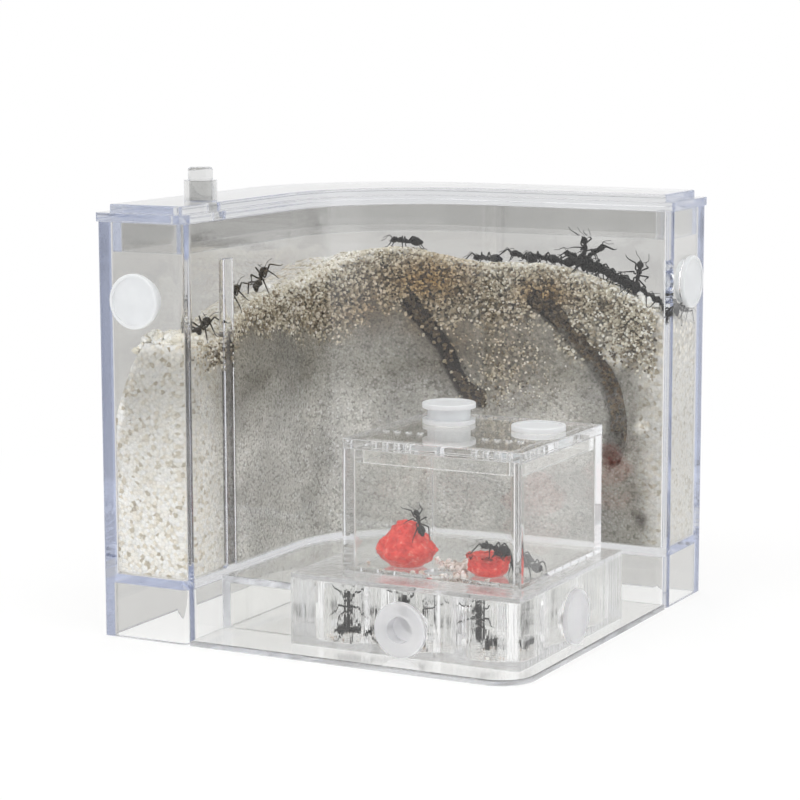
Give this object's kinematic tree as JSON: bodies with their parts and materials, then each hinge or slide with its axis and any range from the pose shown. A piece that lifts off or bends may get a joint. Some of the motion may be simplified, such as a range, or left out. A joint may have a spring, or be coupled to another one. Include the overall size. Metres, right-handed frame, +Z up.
{
  "type": "ant habitat",
  "caption": "Clear desktop ant habitat: a curved sand nest with a lid, a maze block of round chambers and a lidded feed box on it.",
  "frame": {"origin": "middle of the square footprint, on the surface the habitat stands on", "axes": "+Z up; +X to the right along the front; +Y from the open front towards the curved nest"},
  "size_m": [0.1067, 0.1067, 0.1069],
  "materials": {
    "clear_plastic": "clear moulded polystyrene, polished",
    "silicone": "translucent white silicone, satin",
    "sand": "loose quartz sand, coarse light grains over finer grey ones",
    "food": "soft red fruit jelly"
  },
  "bodies": {
    "nest": {"nest_body": "clear_plastic", "corner_plate": "clear_plastic", "corner_deck": "clear_plastic", "sand_bed": "sand"},
    "lid": {"nest_lid": "clear_plastic"},
    "spout_stopper": {"spout_stopper": "clear_plastic"},
    "left_stopper": {"nest_stopper_left": "silicone"},
    "right_stopper": {"nest_stopper_right": "silicone"},
    "maze": {"maze_block": "clear_plastic", "maze_cover": "clear_plastic"},
    "front_stopper": {"maze_stopper_front": "silicone"},
    "side_stopper": {"maze_stopper_right": "silicone"},
    "feeder": {"feed_box": "clear_plastic", "food_large": "food", "food_small": "food"},
    "feeder_lid": {"feed_lid": "clear_plastic"},
    "standing_stopper": {"lid_stopper_standing": "silicone"},
    "flush_stopper": {"lid_stopper_flush": "silicone"}
  },
  "joints": [
    {"name": "lid_lift", "type": "slide", "parent": "nest", "child": "lid", "axis": [0, 0, 1], "range_m": [0, 0.03]},
    {"name": "spout_stopper_pull", "type": "slide", "parent": "lid", "child": "spout_stopper", "axis": [0, 0, 1], "range_m": [0, 0.012]},
    {"name": "left_stopper_pull", "type": "slide", "parent": "nest", "child": "left_stopper", "axis": [0, -1, 0], "range_m": [0, 0.012]},
    {"name": "right_stopper_pull", "type": "slide", "parent": "nest", "child": "right_stopper", "axis": [1, 0, 0], "range_m": [0, 0.012]},
    {"name": "maze_lift", "type": "slide", "parent": "nest", "child": "maze", "axis": [0, 0, 1], "range_m": [0, 0.02]},
    {"name": "front_stopper_pull", "type": "slide", "parent": "maze", "child": "front_stopper", "axis": [0, -1, 0], "range_m": [0, 0.012]},
    {"name": "side_stopper_pull", "type": "slide", "parent": "maze", "child": "side_stopper", "axis": [1, 0, 0], "range_m": [0, 0.012]},
    {"name": "feeder_lift", "type": "slide", "parent": "maze", "child": "feeder", "axis": [0, 0, 1], "range_m": [0, 0.02]},
    {"name": "feeder_lid_lift", "type": "slide", "parent": "feeder", "child": "feeder_lid", "axis": [0, 0, 1], "range_m": [0, 0.015]},
    {"name": "standing_stopper_pull", "type": "slide", "parent": "feeder_lid", "child": "standing_stopper", "axis": [0, 0, 1], "range_m": [0, 0.012]},
    {"name": "flush_stopper_pull", "type": "slide", "parent": "feeder_lid", "child": "flush_stopper", "axis": [0, 0, 1], "range_m": [0, 0.012]}
  ]
}
